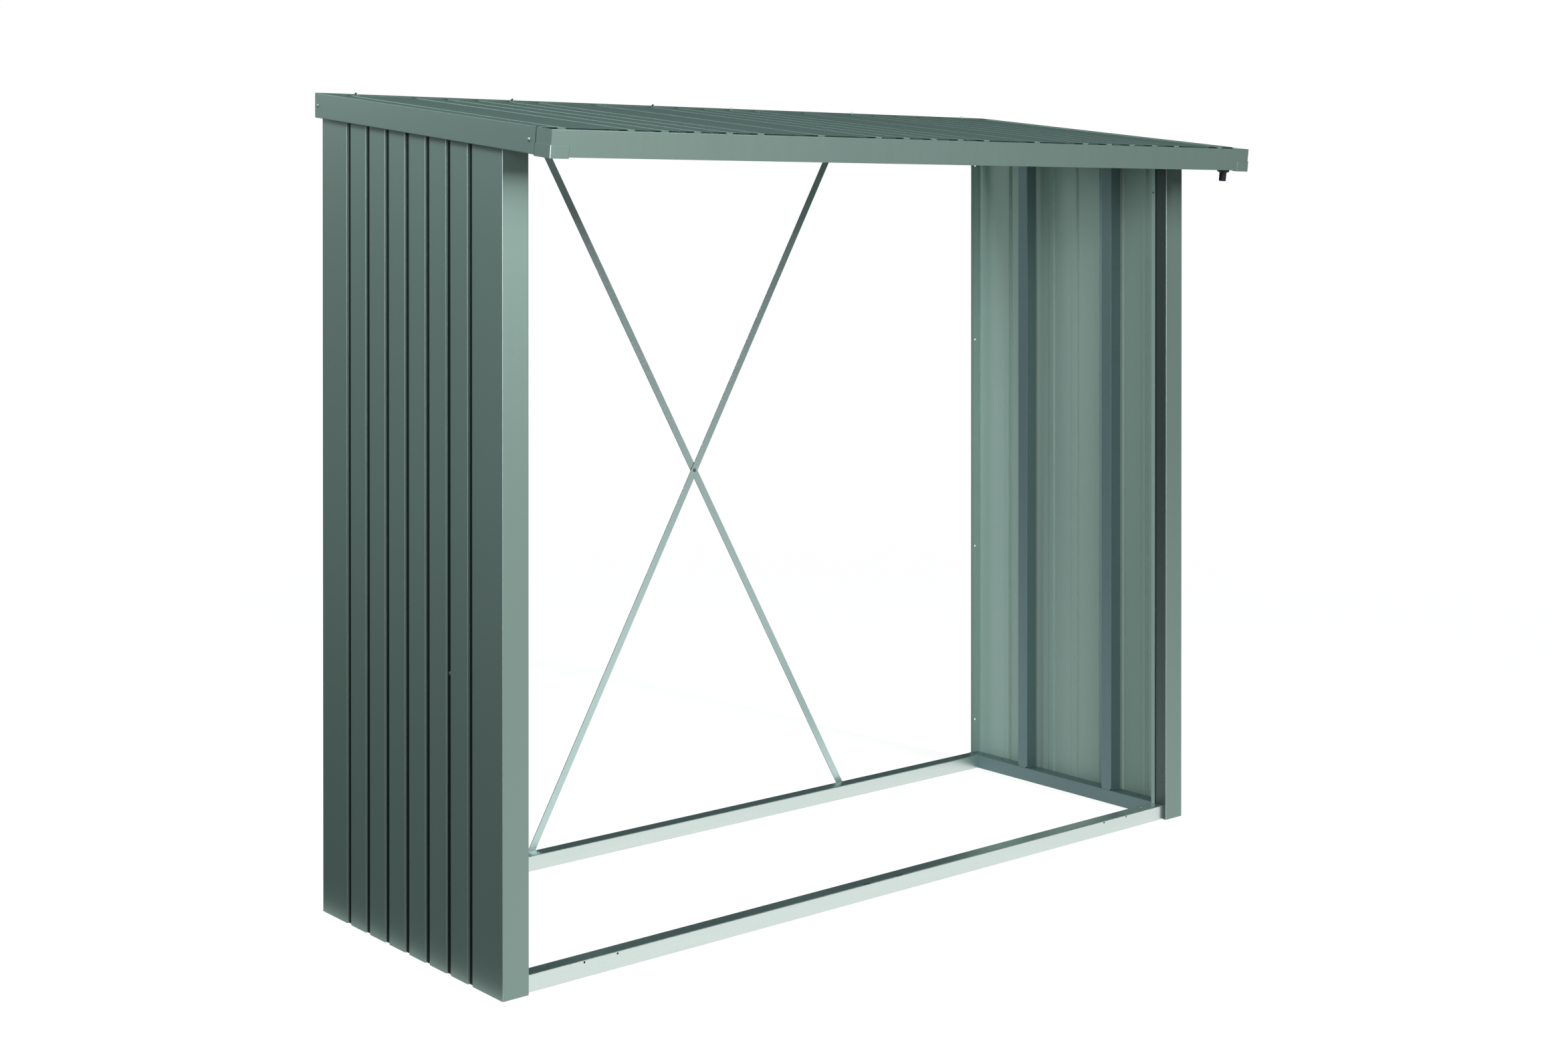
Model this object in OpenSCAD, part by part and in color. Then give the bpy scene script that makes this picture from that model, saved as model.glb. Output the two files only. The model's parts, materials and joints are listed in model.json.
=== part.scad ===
// Open-fronted metal log store: grooved sheet walls, a lean-to roof with a gutter, a cross-braced back.
// Millimetres. +X is right seen from the front, +Y runs to the back, +Z is up, the floor is at z = 0.

/* [Overall] */
// Width over the roof trims
overall_w = 2290; // [1900:1:2700]
// Depth from the gutter's face to the back trim
overall_d = 1020; // [960:1:1200]
// Height of the back edge of the roof
overall_h = 1989; // [1700:1:2300]
// Fall of the roof towards the front, in degrees
roof_slope = 6.53; // [4:0.01:9]
// How far the roof reaches beyond each side wall
side_overhang = 19; // [14:0.5:30]
// How far the gutter face stands in front of the posts
front_overhang = 217.7; // [180:0.1:240]

/* [Sheet] */
// Thickness of the wall, roof and trim sheet
sheet_t = 0.8; // [0.6:0.1:1.2]
// Radius of a fold at the middle of the sheet
fold_r = 1.2; // [1:0.1:1.5]
// Width of a groove in the sheet
groove_w = 20; // [16:0.5:24]
// Depth of a groove
groove_d = 5; // [4:0.1:7]
// Width that the slanted side of a groove takes up
groove_run = 1.2; // [0.8:0.1:2]

/* [Side walls] */
// Distance from the front of the posts to the first groove's middle
wall_first = 132; // [125:0.5:140]
// Distance from the last groove's middle to the back of the walls
wall_last = 129; // [100:0.5:140]
// Number of grooves in a wall
wall_grooves = 7; // [5:1:8]

/* [Posts] */
// Width of the front face of a front post
post_face = 67.3; // [62:0.1:72]
// Depth of the inner return of a front post
post_return = 52; // [46:0.5:56]
// Width of the hem that is folded back over the end of the return
post_hem = 14; // [10:0.5:16]
// Width of the flat part of a back post's flange
back_flange = 25; // [22:0.5:28]
// Width of the slanted lip of that flange
back_lip = 13; // [10:0.5:14]
// Forward lean of that lip over its width
back_lip_lean = 4; // [2:0.5:5]
// Diameter of the holes in the flange
flange_hole_d = 6; // [4:0.5:8]
// Distance of those holes from the outside of the wall
flange_hole_inset = 17.5; // [14:0.5:18]
// Height of the lowest flange hole
flange_hole_low = 132; // [110:1:160]
// Distance of the highest flange hole from the top of the store
flange_hole_high = 147; // [120:1:170]
// Share of the height between them at which the inner holes lie, from either end
flange_hole_share = 0.3135; // [0.25:0.0005:0.4]

/* [Base rails] */
// Width of a base rail
rail_w = 39.3; // [36:0.1:44]
// Height of a base rail
rail_h = 39; // [36:0.1:44]
// Thickness of the rail and stiffener steel
rail_t = 1.5; // [1.2:0.1:2]
// Width of the lips at the foot of a rail
rail_lip = 10; // [8:0.5:12]
// Distance of a side rail's inner face from the outside of the wall
side_rail_inset = 62.5; // [61:0.1:66]
// Distance of the back rail from the back of the walls
back_rail_gap = 19; // [17:0.5:24]
// Distance of the front rail's face behind the front of the posts
front_rail_setback = 11.5; // [8:0.5:14]
// Side of the square opening in a side rail's top at the back corner
corner_opening = 22; // [18:0.5:28]
// Diameter of the ground anchor holes
anchor_d = 6; // [5:0.5:10]
// Distance of the anchor holes from the side rails
anchor_inset = 71.5; // [60:0.5:90]
// Diameter of the small holes in the front rail's face
face_hole_d = 5; // [4:0.5:6]
// Distance of the outer face hole from the post beside it
face_hole_inset = 154; // [120:1:180]
// Distance between the two face holes of a pair
face_hole_step = 90.5; // [80:0.5:100]
// Length of the two slots in the front rail's top
top_slot_l = 22; // [16:0.5:26]
// Width of those slots
top_slot_w = 5; // [4:0.5:7]
// Distance between those slots
top_slot_step = 110; // [90:1:130]

/* [Stiffeners] */
// Width of a stiffener channel
stiffener_w = 37; // [32:0.5:42]
// Distance of the front stiffener from the front of the posts
stiffener_front = 207; // [180:0.5:240]
// Distance of the back stiffener from the back of the walls
stiffener_back = 227; // [190:0.5:250]
// Side of the relief notches at a stiffener's foot
foot_notch = 4; // [3:0.5:6]

/* [Roof frame] */
// Height of the roof beams
beam_h = 45; // [38:0.5:48]
// Height of the sloped top rails
top_rail_h = 39; // [34:0.5:44]

/* [Roof] */
// Distance from the roof's side edge to the outermost groove's middle
roof_margin = 59.6; // [54:0.1:66]
// Height of the trim faces
trim_h = 60; // [52:0.5:66]
// Width of the side trims' top flange
trim_top = 42; // [36:0.5:44]
// Width of the back trim's top flange
back_trim_top = 51; // [44:0.5:56]
// Width of the turned-in hem at the foot of a trim
trim_hem = 9; // [6:0.5:12]

/* [Gutter] */
// Width of the gutter from front to back
gutter_w = 57.7; // [54:0.1:62]
// Height of the gutter's face
gutter_h = 59.8; // [54:0.1:62]
// Width of the hem along the gutter's lip
gutter_lip = 6; // [4:0.5:9]
// Drop of the lip below the trims
gutter_drop = 1; // [0.5:0.1:3]
// How far the roof sheet reaches over the gutter
gutter_cover = 5; // [3:0.5:10]
// Width of the flange that carries the gutter under the roof sheet
gutter_flange = 26; // [20:0.5:34]
// Width of the turned-in edges of a gutter end
gutter_end_edge = 12; // [8:0.5:16]
// Thickness of a corner clip
clip_t = 2.5; // [1.5:0.1:3]
// Height of a corner clip
clip_h = 28; // [24:0.5:32]
// Length of a clip along the gutter's face
clip_front = 46; // [40:0.5:52]
// Width of a clip's foot under the gutter
clip_foot = 14; // [10:0.5:20]

/* [Spout] */
// Distance of the spout from the gutter's right end
spout_inset = 65; // [55:0.5:90]
// Diameter of the spout's flange
spout_flange_d = 33; // [28:0.5:36]
// Diameter of the spout's neck
spout_neck_d = 19; // [18:0.5:22]
// Diameter of the spout's bore
spout_bore_d = 15; // [10:0.5:16]
// Length of the spout below the gutter
spout_l = 32; // [26:0.5:40]
// Height of the spout's cone
spout_cone = 5; // [4:0.5:8]
// Thickness of the spout's flange
spout_flange_t = 5; // [4:0.5:6]
// Width of the bevels on the spout
spout_bevel = 1.2; // [0.8:0.1:1.5]

/* [Back bracing] */
// Width of a brace bar
bar_w = 20; // [16:0.5:26]
// Thickness of a brace bar
bar_t = 2; // [1.5:0.1:3]
// Distance of a bar's ends from the middle of the store
bar_half = 545; // [400:1:700]

/* [Hidden] */
fold_steps = 3;
seat_gap = 0.2;
cut = 1;
lap_margin = 1;
big = 5000;
$fn = 48;

paint = "#75877f";
zinc = "#c2c9c4";
plastic = "#202324";

roof_tan = tan(roof_slope);
roof_cos = cos(roof_slope);

back_y = overall_d / 2;
lip_y = -overall_d / 2;
lip_z = overall_h - (back_y - lip_y) * roof_tan;
post_y = lip_y + front_overhang;
wall_back_y = back_y - sheet_t - seat_gap;

wall_x = overall_w / 2 - side_overhang;
wall_mid_x = wall_x - sheet_t / 2;
post_inner_x = wall_x - post_face;
side_rail_x = wall_x - side_rail_inset;
rail_end_x = side_rail_x + rail_w;
ridge_x = wall_x - groove_d - sheet_t;
lap_ridge_x = ridge_x - sheet_t;

back_rail_y = wall_back_y - back_rail_gap - rail_w;
rail_back_y = back_rail_y + rail_w;
front_rail_y = post_y + front_rail_setback;
front_rail_back_y = front_rail_y + rail_w;
front_beam_y = post_y + sheet_t + seat_gap;

groove_first_y = post_y + wall_first;
groove_last_y = wall_back_y - wall_last;
wall_pitch = (groove_last_y - groove_first_y) / (wall_grooves - 1);

stiffener_front_y = post_y + stiffener_front;
stiffener_back_y = wall_back_y - stiffener_back - stiffener_w;

anchor_x = side_rail_x - anchor_inset;
face_hole_x = post_inner_x - face_hole_inset;

hem_x = post_inner_x + sheet_t / 2 - 2 * fold_r - seat_gap;
flange_hole_span = overall_h - flange_hole_low - flange_hole_high;
flange_hole_step = flange_hole_share * flange_hole_span;

roof_layer = sheet_t;
roof_stack = roof_layer + sheet_t + groove_d;
lap_stack = roof_stack + sheet_t;
panel_units = 8;
panel_count = 3;
groove_reach = 2;
roof_pitch = (overall_w - 2 * roof_margin) / (panel_count * panel_units);
panel_w = panel_units * roof_pitch;
panel_edge_x = overall_w / 2 - sheet_t - seat_gap;
panel_front_s = gutter_w - gutter_cover;

gutter_end_x = overall_w / 2 - sheet_t;
gutter_mid_s = gutter_w / 2;
spout_x = overall_w / 2 - spout_inset;
spout_hole_d = spout_neck_d + 2 * seat_gap;

bar_low_z = rail_h / 2;

// Height of the roof's top plane above a point at depth y
function roof_z(y) = lip_z + (y - lip_y) * roof_tan;

// Drop, measured plumb, of a plane that lies a given distance under the roof's top plane
function plumb(n) = n / roof_cos;

bar_high_z = roof_z(rail_back_y) - plumb(lap_stack) - beam_h / 2;

// Folded sheet: a path along the middle of the sheet, with rounded folds, thickened to both sides
function unit(v) = v / norm(v);
function heading(points, i) = unit(points[i + 1] - points[i]);
function left_of(v) = [-v[1], v[0]];
function turned(v, a) = [v[0] * cos(a) - v[1] * sin(a), v[0] * sin(a) + v[1] * cos(a)];
function turn_angle(a, b) = atan2(a[0] * b[1] - a[1] * b[0], a * b);

function fold_arc(p, a, b, r) =
    let (angle = turn_angle(a, b),
         start = p - a * r * tan(abs(angle) / 2),
         spoke = left_of(a) * sign(angle) * r)
    [for (k = [0 : fold_steps]) start + spoke - turned(spoke, angle * k / fold_steps)];

function folded(points, r) =
    let (last = len(points) - 1)
    concat([points[0]],
        [for (i = [1 : last - 1])
            for (q = fold_arc(points[i], heading(points, i - 1), heading(points, i), r)) q],
        [points[last]]);

function side_normal(path, i) =
    let (last = len(path) - 1,
         a = left_of(heading(path, max(i, 1) - 1)),
         b = left_of(heading(path, min(i, last - 1))))
    (a + b) / (1 + a * b);

function beside(path, d) = [for (i = [0 : len(path) - 1]) path[i] + side_normal(path, i) * d];

function backwards(list) = [for (i = [len(list) - 1 : -1 : 0]) list[i]];

module sheet(points, t, r) {
    path = folded(points, r);
    polygon(concat(beside(path, t / 2), backwards(beside(path, -t / 2))));
}

// A groove around position c on a path that runs along the first axis, cut to depth d below level v
function groove_in(c, v) = [[c - groove_w / 2, v], [c - groove_w / 2 + groove_run, v - groove_d]];
function groove_out(c, v) = [[c + groove_w / 2 - groove_run, v - groove_d], [c + groove_w / 2, v]];
function groove(c, v) = concat(groove_in(c, v), groove_out(c, v));

// The two halves of a lapped seam in a groove: the upper sheet ends in it, the lower sheet starts under it
lap_half = groove_w / 2 - groove_run - fold_r - lap_margin;
function lap_end(c, v) = concat(groove_in(c, v), [[c + lap_half, v - groove_d]]);
function lap_start(c, v) =
    [[c - lap_half, v - groove_d - sheet_t],
     [c + groove_w / 2 - groove_run, v - groove_d - sheet_t],
     [c + groove_w / 2, v]];

function swapped(points) = [for (p = points) [p[1], p[0]]];
function mirrored_points(points) = [for (p = backwards(points)) [-p[0], p[1]]];

// Outline of an upright channel with lips at its foot
module channel(w, h, lip, t) {
    sheet([[lip, t / 2], [t / 2, t / 2], [t / 2, h - t / 2],
           [w - t / 2, h - t / 2], [w - t / 2, t / 2], [w - lip, t / 2]], t, t);
}

// Extrusions of a flat outline: along X from its own YZ plane, and along Y from its own XZ plane
module along_x(x0, x1) {
    translate([x0, 0, 0]) rotate([90, 0, 90]) linear_extrude(x1 - x0) children();
}

module along_y(y0, y1) {
    translate([0, y1, 0]) rotate([90, 0, 0]) linear_extrude(y1 - y0) children();
}

// The roof's own frame: X across, Y up the slope from the gutter's face, Z square to the roof
module on_roof() {
    translate([0, lip_y, lip_z]) rotate([roof_slope, 0, 0]) children();
}

// Everything that lies higher than a given distance under the roof's top plane
module above_roof(under) {
    on_roof() translate([-big / 2, -big / 2, -under]) cube(big);
}

module left_side() {
    mirror([1, 0, 0]) children();
}

// Base rails
module front_base_rail() {
    fold = rail_t * 2;
    color(zinc) difference() {
        translate([0, front_rail_y, 0]) along_x(-rail_end_x, rail_end_x)
            channel(rail_w, rail_h, rail_lip, rail_t);
        for (side = [-1, 1]) {
            rail_top_hole(side * anchor_x, front_rail_y + rail_w / 2, anchor_d);
            for (k = [0, 1])
                translate([side * (face_hole_x - k * face_hole_step), front_rail_y - cut,
                           rail_h - face_hole_d])
                    rotate([-90, 0, 0]) cylinder(d = face_hole_d, h = fold + cut);
            translate([(side * top_slot_step - top_slot_l) / 2, front_rail_y + rail_t, rail_h - fold])
                cube([top_slot_l, top_slot_w, fold + cut]);
        }
    }
}

module rail_top_hole(x, y, d) {
    translate([x, y, rail_h - 2 * rail_t]) cylinder(d = d, h = 2 * rail_t + cut);
}

module back_base_rail() {
    color(zinc) difference() {
        translate([0, back_rail_y, 0]) along_x(-side_rail_x, side_rail_x)
            channel(rail_w, rail_h, rail_lip, rail_t);
        for (side = [-1, 1]) rail_top_hole(side * anchor_x, back_rail_y + rail_w / 2, anchor_d);
    }
}

// A side rail has an outward foot that the wall's ridges stand against
module side_base_rail() {
    t = rail_t;
    foot = lap_ridge_x - seat_gap - side_rail_x;
    margin = (rail_w - corner_opening) / 2;
    color(zinc) difference() {
        translate([side_rail_x, 0, 0]) along_y(front_rail_back_y, rail_back_y)
            sheet([[rail_lip, t / 2], [t / 2, t / 2], [t / 2, rail_h - t / 2],
                   [rail_w - t / 2, rail_h - t / 2], [rail_w - t / 2, t / 2], [foot, t / 2]], t, t);
        translate([side_rail_x + margin, rail_back_y - corner_opening - margin, rail_h - 2 * t])
            cube([corner_opening, corner_opening, 2 * t + cut]);
    }
}

module right_base_rail() { side_base_rail(); }
module left_base_rail() { left_side() side_base_rail(); }

// Side walls: the front post, the grooved panel and the back post lap in the first and last groove
module front_post() {
    t = sheet_t;
    return_x = post_inner_x + t / 2;
    return_y = post_y + post_return - t / 2;
    outline = concat(
        [[hem_x, post_y + post_return - post_hem], [hem_x, return_y], [return_x, return_y],
         [return_x, post_y + t / 2], [wall_mid_x, post_y + t / 2]],
        swapped(lap_end(groove_first_y, wall_mid_x)));
    color(paint) difference() {
        linear_extrude(overall_h) sheet(outline, t, fold_r);
        above_roof(roof_stack);
        translate([0, 0, rail_h - big]) return_space(front_rail_setback - seat_gap);
        intersection() {
            above_roof(lap_stack + beam_h);
            translate([0, 0, overall_h / 2]) return_space(t + fold_r + cut);
        }
    }
}

// A tall block around a post's inner return and hem, from a given distance behind the post's front
module return_space(behind) {
    translate([hem_x - sheet_t - cut, post_y + behind, 0])
        cube([post_inner_x - hem_x + 2 * (sheet_t + cut), post_return, big]);
}

module right_front_post() { front_post(); }
module left_front_post() { left_side() front_post(); }

module wall_panel() {
    outline = concat(
        lap_start(groove_first_y, wall_mid_x),
        [for (k = [1 : wall_grooves - 2]) for (q = groove(groove_first_y + k * wall_pitch, wall_mid_x)) q],
        lap_end(groove_last_y, wall_mid_x));
    color(paint) difference() {
        linear_extrude(overall_h) sheet(swapped(outline), sheet_t, fold_r);
        above_roof(roof_stack);
    }
}

module right_wall_panel() { wall_panel(); }
module left_wall_panel() { left_side() wall_panel(); }

module back_post() {
    t = sheet_t;
    back_mid_y = wall_back_y - t / 2;
    flange_x = wall_x - back_flange;
    outline = concat(
        swapped(lap_start(groove_last_y, wall_mid_x)),
        [[wall_mid_x, back_mid_y], [flange_x, back_mid_y],
         [flange_x - back_lip, back_mid_y - back_lip_lean]]);
    color(paint) difference() {
        linear_extrude(overall_h) sheet(outline, t, fold_r);
        above_roof(roof_stack);
        for (z = [0, flange_hole_step, flange_hole_span - flange_hole_step, flange_hole_span])
            translate([wall_x - flange_hole_inset, wall_back_y + cut, flange_hole_low + z])
                rotate([90, 0, 0]) cylinder(d = flange_hole_d, h = 2 * (t + cut));
    }
}

module right_back_post() { back_post(); }
module left_back_post() { left_side() back_post(); }

// Stiffener channels stand on the side rails, flush with their inner face, and reach the top rails
module stiffener(y) {
    t = rail_t;
    d = rail_w;
    w = stiffener_w;
    color(zinc) difference() {
        translate([side_rail_x, y, rail_h]) linear_extrude(overall_h)
            sheet([[d - t / 2, rail_lip], [d - t / 2, t / 2], [t / 2, t / 2],
                   [t / 2, w - t / 2], [d - t / 2, w - t / 2], [d - t / 2, w - rail_lip]], t, t);
        above_roof(lap_stack + top_rail_h);
        for (side = [0, w])
            translate([side_rail_x, y + side, rail_h])
                cube(2 * foot_notch, center = true);
    }
}

module right_front_stiffener() { stiffener(stiffener_front_y); }
module right_back_stiffener() { stiffener(stiffener_back_y); }
module left_front_stiffener() { left_side() stiffener(stiffener_front_y); }
module left_back_stiffener() { left_side() stiffener(stiffener_back_y); }

// Sloped rails along the top of the side walls, cut plumb at both ends
module top_rail() {
    y0 = front_beam_y + rail_w;
    color(zinc) intersection() {
        on_roof() translate([side_rail_x, 0, -lap_stack - top_rail_h])
            along_y(0, overall_d) channel(rail_w, top_rail_h, rail_lip, rail_t);
        translate([0, y0, 0]) cube([big, rail_back_y - y0, big]);
    }
}

module right_top_rail() { top_rail(); }
module left_top_rail() { left_side() top_rail(); }

// Roof beams: channels whose top follows the fall of the roof
module roof_beam(y, half_w) {
    t = rail_t;
    foot = roof_z(y) - plumb(lap_stack) - beam_h;
    top = roof_z(y) - plumb(lap_stack + t / 2);
    rise = rail_w * roof_tan;
    color(zinc) translate([0, y, 0]) along_x(-half_w, half_w)
        sheet([[rail_lip, foot + t / 2], [t / 2, foot + t / 2], [t / 2, top], [rail_w - t / 2, top + rise],
               [rail_w - t / 2, foot + t / 2], [rail_w - rail_lip, foot + t / 2]], t, t);
}

module front_beam() { roof_beam(front_beam_y, rail_end_x); }
module back_beam() { roof_beam(back_rail_y, side_rail_x); }

// Roof panels: grooves run up the slope, and the middle panel laps the outer two in a groove
roof_mid = -roof_layer - sheet_t / 2;

module roof_sheet(points) {
    color(paint) difference() {
        on_roof() along_y(panel_front_s, overall_d * 2) sheet(points, sheet_t, fold_r);
        translate([-big / 2, wall_back_y - cut, 0]) cube(big);
    }
}

// Grooves that lie between the two seams of a panel whose middle is at c
function panel_grooves(c) =
    [for (k = [-groove_reach : groove_reach]) for (q = groove(c + k * roof_pitch, roof_mid)) q];

module outer_roof_panel() {
    roof_sheet(concat(
        lap_start(panel_w / 2, roof_mid),
        panel_grooves(panel_w),
        groove(panel_count * panel_w / 2, roof_mid),
        [[panel_edge_x, roof_mid]]));
}

module right_roof_panel() { outer_roof_panel(); }
module left_roof_panel() { left_side() outer_roof_panel(); }

module middle_roof_panel() {
    roof_sheet(concat(
        mirrored_points(lap_end(panel_w / 2, roof_mid)),
        panel_grooves(0),
        lap_end(panel_w / 2, roof_mid)));
}

// Roof trims
module side_trim() {
    t = sheet_t;
    face_x = overall_w / 2 - t / 2;
    top_x = overall_w / 2 - trim_top - cut;
    top_w = overall_w / 2 - top_x - t - fold_r;
    back_top_y = back_y - back_trim_top - seat_gap;
    color(paint) difference() {
        on_roof() along_y(gutter_w + seat_gap, 2 * overall_d)
            sheet([[face_x - trim_top, -t / 2], [face_x, -t / 2], [face_x, -trim_h + t / 2],
                   [face_x - trim_hem, -trim_h + t / 2]], t, fold_r);
        translate([-big / 2, back_y, 0]) cube(big);
        translate([top_x, back_top_y, roof_z(back_top_y) - 2 * roof_stack]) cube([top_w, big, big]);
        translate([top_x, wall_back_y - cut - seat_gap, 0]) cube([top_w, big, big]);
    }
}

module right_trim() { side_trim(); }
module left_trim() { left_side() side_trim(); }

module back_trim() {
    t = sheet_t;
    half_w = overall_w / 2 - t - fold_r - 2 * seat_gap;
    y = back_y - t / 2;
    top = roof_z(y) - plumb(t / 2);
    color(paint) along_x(-half_w, half_w)
        sheet([[y - back_trim_top, top - back_trim_top * roof_tan], [y, top], [y, top - trim_h],
               [y - trim_hem, top - trim_h]], t, fold_r);
}

// Gutter along the front edge: a face with a lip, a floor, and a back that hangs under the roof sheet
module gutter_face() {
    t = sheet_t;
    lip_n = -gutter_drop - t / 2;
    color(paint) on_roof() along_x(-gutter_end_x, gutter_end_x)
        sheet([[gutter_lip, lip_n], [t / 2, lip_n], [t / 2, -gutter_h]], t, fold_r);
}

module gutter_floor() {
    t = sheet_t;
    color(paint) on_roof() difference() {
        translate([-gutter_end_x, t, -gutter_h]) cube([2 * gutter_end_x, gutter_w - 2 * t, t]);
        translate([spout_x, gutter_mid_s, -gutter_h - cut]) cylinder(d = spout_hole_d, h = t + 2 * cut);
    }
}

module gutter_back() {
    t = sheet_t;
    back_s = gutter_w - t / 2;
    flange_n = -lap_stack - t / 2;
    color(paint) on_roof() along_x(-gutter_end_x, gutter_end_x)
        sheet([[back_s, -gutter_h], [back_s, flange_n], [gutter_w + gutter_flange, flange_n]], t, fold_r);
}

// A gutter end is a plate with turned-in edges that lie inside the trough
module gutter_end() {
    t = sheet_t;
    high = gutter_h - gutter_drop;
    color(paint) on_roof() translate([gutter_end_x, 0, -gutter_h]) {
        cube([t, gutter_w, high]);
        difference() {
            translate([-gutter_end_edge, t, t]) cube([gutter_end_edge, gutter_w - 2 * t, high / 2]);
            translate([-gutter_end_edge - cut, 2 * t, 2 * t])
                cube([gutter_end_edge + cut, gutter_w - 4 * t, high]);
        }
    }
}

module right_gutter_end() { gutter_end(); }
module left_gutter_end() { left_side() gutter_end(); }

// A corner clip wraps the gutter's lower corner and has a narrow foot under its floor
module gutter_clip() {
    t = clip_t;
    edge = overall_w / 2 + t / 2;
    front_x = edge - clip_front;
    color(paint) on_roof() translate([0, 0, -gutter_h - t]) {
        linear_extrude(clip_h) sheet([[front_x, -t / 2], [edge, -t / 2], [edge, gutter_w]], t, t);
        translate([front_x, -t, 0]) cube([clip_front - 2 * t, clip_foot + t, t]);
        translate([edge - clip_foot, t, 0]) cube([clip_foot, gutter_w - t, t]);
    }
}

module right_gutter_clip() { gutter_clip(); }
module left_gutter_clip() { left_side() gutter_clip(); }

// Drain spout: a flange under the gutter's floor, a cone and a hollow neck, turned from one outline
module drain_spout() {
    bore = spout_bore_d / 2;
    rim = spout_flange_d / 2;
    neck = spout_neck_d / 2;
    b = spout_bevel;
    cone_z = -spout_flange_t - spout_cone;
    color(plastic) on_roof() translate([spout_x, gutter_mid_s, -gutter_h]) rotate_extrude()
        polygon([[bore, 0], [rim - b, 0], [rim, -b], [rim, -spout_flange_t], [neck, cone_z],
                 [neck, b - spout_l], [neck - b, -spout_l], [bore, -spout_l]]);
}

// Crossed flat bars on the back of the frame, the second one on spacers behind the first
module bar(y, spacer) {
    rise = bar_high_z - bar_low_z;
    length = norm([2 * bar_half, rise]);
    angle = atan2(rise, 2 * bar_half);
    color(zinc) translate([-bar_half, y, bar_low_z]) rotate([0, -angle, 0]) {
        translate([0, 0, -bar_w / 2]) cube([length, bar_t, bar_w]);
        for (x = [0, length])
            translate([x, -spacer, 0]) rotate([-90, 0, 0]) cylinder(d = bar_w, h = bar_t + spacer);
    }
}

module rising_brace_bar() { bar(rail_back_y, 0); }
module falling_brace_bar() { left_side() bar(rail_back_y + bar_t, bar_t); }

front_base_rail();
back_base_rail();
left_base_rail();
right_base_rail();
left_front_post();
left_wall_panel();
left_back_post();
left_front_stiffener();
left_back_stiffener();
left_top_rail();
right_front_post();
right_wall_panel();
right_back_post();
right_front_stiffener();
right_back_stiffener();
right_top_rail();
front_beam();
back_beam();
left_roof_panel();
middle_roof_panel();
right_roof_panel();
left_trim();
right_trim();
back_trim();
gutter_face();
gutter_floor();
gutter_back();
left_gutter_end();
right_gutter_end();
left_gutter_clip();
right_gutter_clip();
drain_spout();
rising_brace_bar();
falling_brace_bar();
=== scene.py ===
"""Open-fronted metal log store: finishes, fasteners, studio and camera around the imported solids."""
import json
import math

import bpy
from mathutils import Euler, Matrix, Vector


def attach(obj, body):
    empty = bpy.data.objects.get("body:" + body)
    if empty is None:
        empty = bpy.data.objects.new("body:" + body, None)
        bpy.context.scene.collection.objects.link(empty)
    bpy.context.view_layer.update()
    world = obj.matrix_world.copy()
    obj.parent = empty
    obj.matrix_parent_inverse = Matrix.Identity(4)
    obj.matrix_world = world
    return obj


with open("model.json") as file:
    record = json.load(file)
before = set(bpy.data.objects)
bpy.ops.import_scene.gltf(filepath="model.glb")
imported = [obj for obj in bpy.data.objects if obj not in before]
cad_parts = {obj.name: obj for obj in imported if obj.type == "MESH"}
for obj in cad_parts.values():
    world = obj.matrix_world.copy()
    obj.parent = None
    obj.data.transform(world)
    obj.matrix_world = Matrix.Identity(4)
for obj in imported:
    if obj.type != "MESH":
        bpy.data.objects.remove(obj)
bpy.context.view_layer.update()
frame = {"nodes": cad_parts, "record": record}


def edge_of(node, axis, side):
    """How far a solid reaches along an axis: its lowest place for side min, its highest for max."""
    solid = frame["nodes"][node]
    return side((solid.matrix_world @ Vector(corner))["XYZ".index(axis)] for corner in solid.bound_box)


def middle_of(node, axis):
    return (edge_of(node, axis, min) + edge_of(node, axis, max)) / 2


# Faces and lines of the solids that fasteners and masks keep to, in metres
TRIM_X = edge_of("right_trim", "X", max)
POST_HEM_X = edge_of("right_front_post", "X", min)
RAIL_TOP = edge_of("right_base_rail", "Z", max)
FRONT_RAIL_Y = middle_of("front_base_rail", "Y")
BACK_RAIL_Y = middle_of("back_base_rail", "Y")
RISING_BAR_FRONT_Y = edge_of("rising_brace_bar", "Y", min)
RISING_BAR_BACK_Y = edge_of("rising_brace_bar", "Y", max)
FALLING_BAR_BACK_Y = edge_of("falling_brace_bar", "Y", max)

# The same within a solid, where its box doesn't give them
ROOF_SLOPE = math.radians(6.53)
WALL_GROOVE_X = 1.1210
POST_RETURN_X = 1.0587
BEHIND_HEM_X = 1.0573
BAR_END_X = 0.545
BAR_LOW_Z, BAR_CROSS_Z, BAR_HIGH_Z = 0.0195, 0.9881, 1.9568

# Places of the fasteners on those faces, for the right side where they come in pairs
BACK_TRIM_SCREWS_X = (0.1355, 0.5873, 1.0397)
BACK_TRIM_SCREW_Y, BACK_TRIM_SCREW_Z = 0.4977, 1.98759
SIDE_TRIM_SCREWS_YZ = ((0.4963, 1.957), (-0.4243, 1.852))
RETURN_RIVET_Y = -0.2773
RETURN_RIVETS_Z = (1.8137, 1.638, 1.608, 0.869, 0.132, 0.1025)
HEM_RIVET_Y, HEM_RIVET_Z = -0.2476, 1.754
WALL_SCREW_Y, WALL_SCREW_Z = -0.0701, 0.671
RAIL_SCREWS_XY = ((1.0840, 0.3687), (1.0850, -0.1693), (1.0570, 0.4607), (1.0800, 0.4417))


def linear(red, green, blue):
    """A screen colour from 0 to 255, as the linear colour a shader takes."""
    def channel(value):
        value /= 255
        return value / 12.92 if value <= 0.04045 else ((value + 0.055) / 1.055) ** 2.4
    return channel(red), channel(green), channel(blue), 1.0


# Node trees

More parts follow.
